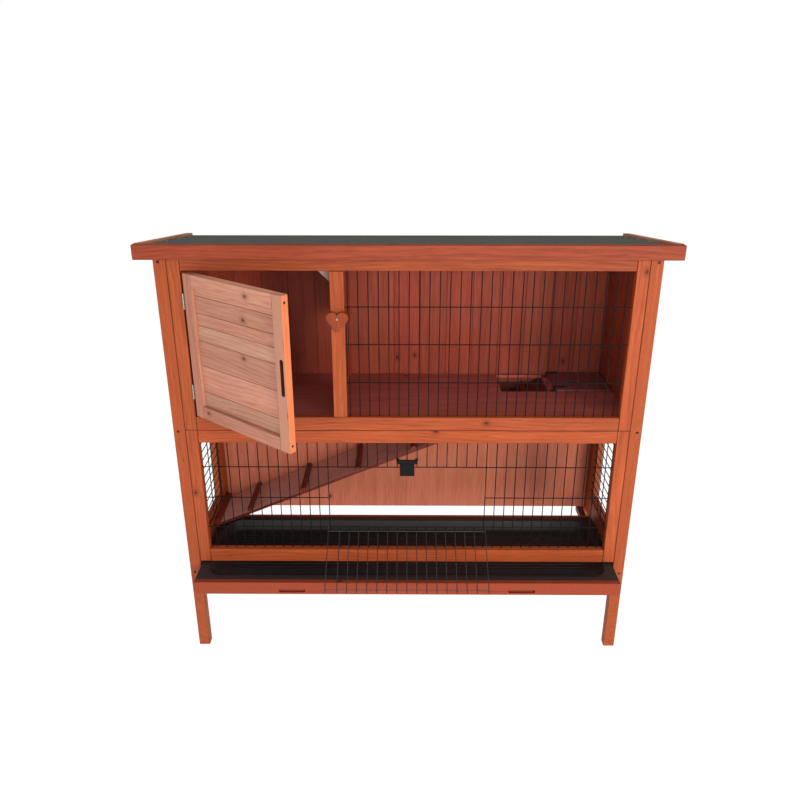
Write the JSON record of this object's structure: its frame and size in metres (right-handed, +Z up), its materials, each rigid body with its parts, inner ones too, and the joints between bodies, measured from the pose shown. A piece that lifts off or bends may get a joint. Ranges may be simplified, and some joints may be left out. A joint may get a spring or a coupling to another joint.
{
  "type": "rabbit hutch",
  "caption": "Two-storey wooden rabbit hutch with a sloping felt roof, nest door, mesh fronts, ramp, floor hatch and pull-out tray.",
  "frame": {"origin": "on the floor, at the bottom centre of the bounding box in the stored pose", "axes": "+Z up, -Y out of the front, +X to the right seen from the front"},
  "size_m": [1.24, 0.631, 1.1309],
  "materials": {
    "stained_fir": "planed fir under a red-orange stain",
    "stained_boards": "thin fir boards under a red stain",
    "door_fir": "planed fir under a pale salmon stain",
    "stained_plywood": "rotary-cut plywood under a red stain",
    "primed_wood": "pale grey primer",
    "mineral_felt": "mineral granules on bitumen felt",
    "black_wire": "black powder coat",
    "black_plastic": "moulded, satin",
    "zinc_steel": "zinc plated",
    "black_steel": "black finish"
  },
  "bodies": {
    "carcass": {"back_frame": "stained_fir", "centre_stile": "stained_fir", "door_hinge_leaves_fixed": "zinc_steel", "door_hinge_pins": "zinc_steel", "door_stop": "primed_wood", "drawer_runners": "stained_fir", "floor_battens": "stained_fir", "frame_screws": "black_steel", "hatch_hinge_pins": "black_steel", "hatch_hinges_fixed": "black_steel", "left_front_leg": "stained_fir", "left_rear_leg": "stained_fir", "left_side_boards": "stained_boards", "left_side_frame": "stained_fir", "left_side_rails": "stained_fir", "left_window_mesh": "black_wire", "lower_back_panels": "stained_plywood", "lower_front_bottom_rail": "stained_fir", "lower_front_mesh": "black_wire", "lower_front_stiles": "stained_fir", "lower_front_top_rail": "stained_fir", "partition": "stained_boards", "ramp_board": "stained_plywood", "ramp_cleats": "stained_fir", "ramp_ledgers": "stained_fir", "right_front_leg": "stained_fir", "right_rear_leg": "stained_fir", "right_side_boards": "stained_boards", "right_side_frame": "stained_fir", "right_side_rails": "stained_fir", "right_window_mesh": "black_wire", "roof_back_batten": "stained_fir", "roof_deck": "stained_plywood", "roof_front_fascia": "stained_fir", "roof_left_fascia": "stained_fir", "roof_right_fascia": "stained_fir", "roofing_felt": "mineral_felt", "turn_button_screw": "zinc_steel", "upper_back_boards": "stained_boards", "upper_floor": "stained_plywood", "upper_front_bottom_rail": "stained_fir", "upper_front_mesh": "black_wire", "upper_front_stiles": "stained_fir", "upper_front_top_rail": "stained_fir"},
    "nest_door": {"door_hinge_stile": "door_fir", "door_handle_stile": "door_fir", "door_top_rail": "door_fir", "door_bottom_rail": "door_fir", "door_slats": "door_fir", "door_hinge_leaves_moving": "zinc_steel", "door_screws": "black_steel"},
    "turn_button": {"turn_button": "stained_fir"},
    "wire_door": {"wire_door": "black_wire"},
    "wire_door_latch": {"wire_door_latch": "black_plastic"},
    "hatch_cover": {"hatch_cover": "stained_plywood", "hatch_hinges_moving": "black_steel"},
    "drawer": {"drawer_front": "stained_fir", "drawer_back": "stained_fir", "drawer_sides": "stained_fir", "drawer_tray": "black_plastic"}
  },
  "joints": [
    {"name": "nest_door_hinge", "type": "hinge", "parent": "carcass", "child": "nest_door", "pos_m": [-0.52325, -0.10148, 0.881], "axis": [0, 0, -1], "range_deg": [-39.5, 120.5]},
    {"name": "turn_button_turn", "type": "hinge", "parent": "carcass", "child": "turn_button", "pos_m": [-0.1655, -0.10468, 0.954], "axis": [0, -1, 0], "continuous": true},
    {"name": "wire_door_hinge", "type": "hinge", "parent": "carcass", "child": "wire_door", "pos_m": [0, -0.08918, 0.3795], "axis": [-1, 0, 0], "range_deg": [0, 124.5]},
    {"name": "latch_slide", "type": "slide", "parent": "carcass", "child": "wire_door_latch", "axis": [0, 0, 1], "range_m": [0, 0.025]},
    {"name": "hatch_cover_hinge", "type": "hinge", "parent": "carcass", "child": "hatch_cover", "pos_m": [0.404, 0.17582, 0.6933], "axis": [0, -1, 0], "range_deg": [0, 180]},
    {"name": "drawer_slide", "type": "slide", "parent": "carcass", "child": "drawer", "axis": [0, -1, 0], "range_m": [-0.088, 0.25]}
  ]
}
